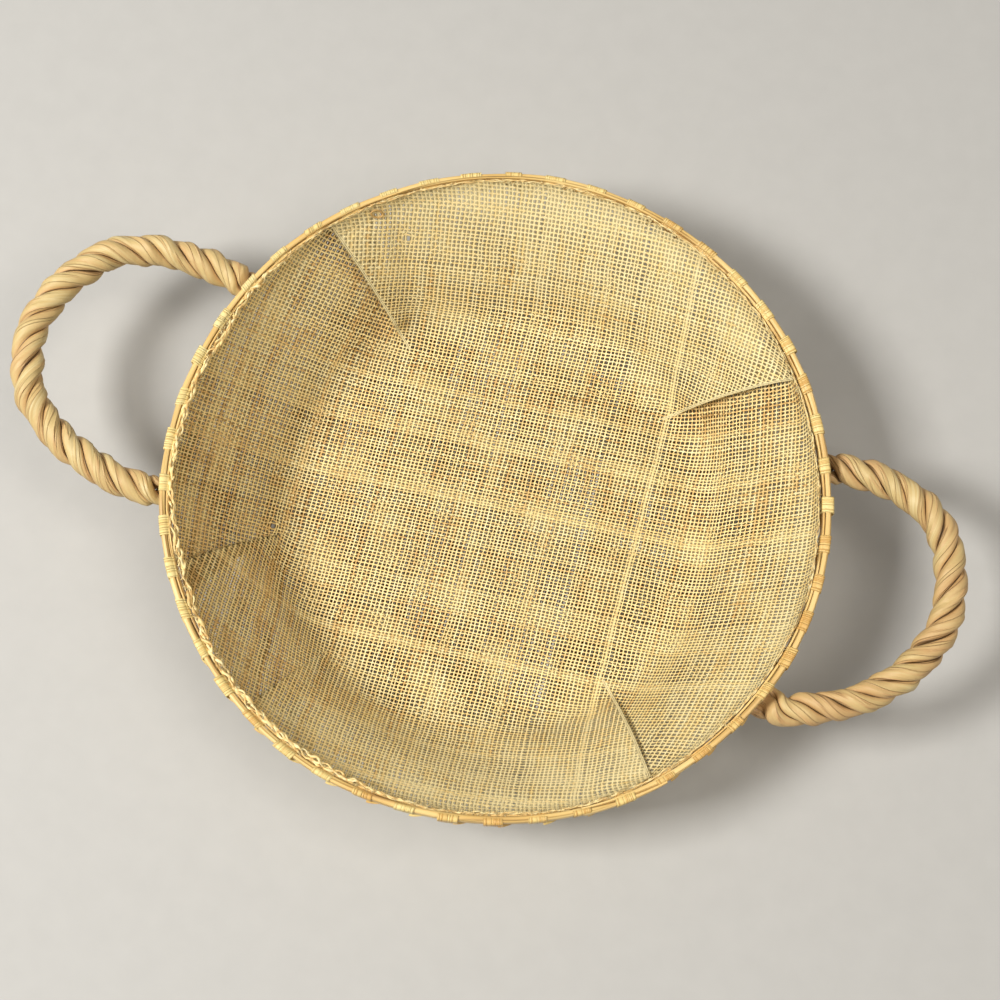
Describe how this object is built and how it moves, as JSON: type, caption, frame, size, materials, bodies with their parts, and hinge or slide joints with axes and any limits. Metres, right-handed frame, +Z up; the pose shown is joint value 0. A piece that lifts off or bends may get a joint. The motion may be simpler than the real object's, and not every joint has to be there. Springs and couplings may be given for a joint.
{
  "type": "shallow woven basket with rope handles",
  "caption": "Shallow round basket of pleated plain-woven raffia cloth with a lashed split-cane rim and a stiff three-strand rope loop handle at each end.",
  "frame": {"origin": "centre of the flat base's underside, where the basket stands", "axes": "+X from the bowl's centre towards the right handle, +Z up out of the bowl"},
  "size_m": [0.377, 0.2556, 0.0586],
  "materials": {
    "raffia_cloth": "matt open plain weave of raffia",
    "split_cane": "satin split cane with lengthwise grain",
    "cane_strip": "satin flat cane strip",
    "rope_fibre": "smooth twisted leaf fibre with a slight sheen"
  },
  "bodies": {
    "basket": {"bowl_cloth": "raffia_cloth", "outer_hoop": "split_cane", "inner_hoop": "split_cane", "lashing_strip_1": "cane_strip", "lashing_strip_2": "cane_strip", "lashing_strip_3": "cane_strip", "lashing_strip_4": "cane_strip", "right_handle_tail_1": "rope_fibre", "right_handle_tail_2": "rope_fibre", "left_handle_tail_1": "rope_fibre", "left_handle_tail_2": "rope_fibre"},
    "right_handle": {"right_handle_strand_1": "rope_fibre", "right_handle_strand_2": "rope_fibre", "right_handle_strand_3": "rope_fibre"},
    "left_handle": {"left_handle_strand_1": "rope_fibre", "left_handle_strand_2": "rope_fibre", "left_handle_strand_3": "rope_fibre"}
  },
  "joints": [
    {"name": "right_handle_flex", "type": "hinge", "parent": "basket", "child": "right_handle", "pos_m": [0.12673, 0.00332, 0.0439], "axis": [0.0262, -0.9997, 0], "range_deg": [-38, 62]},
    {"name": "left_handle_flex", "type": "hinge", "parent": "basket", "child": "left_handle", "pos_m": [-0.12776, 0.00446, 0.0439], "axis": [0.0349, 0.9994, 0], "range_deg": [-38, 62]}
  ]
}
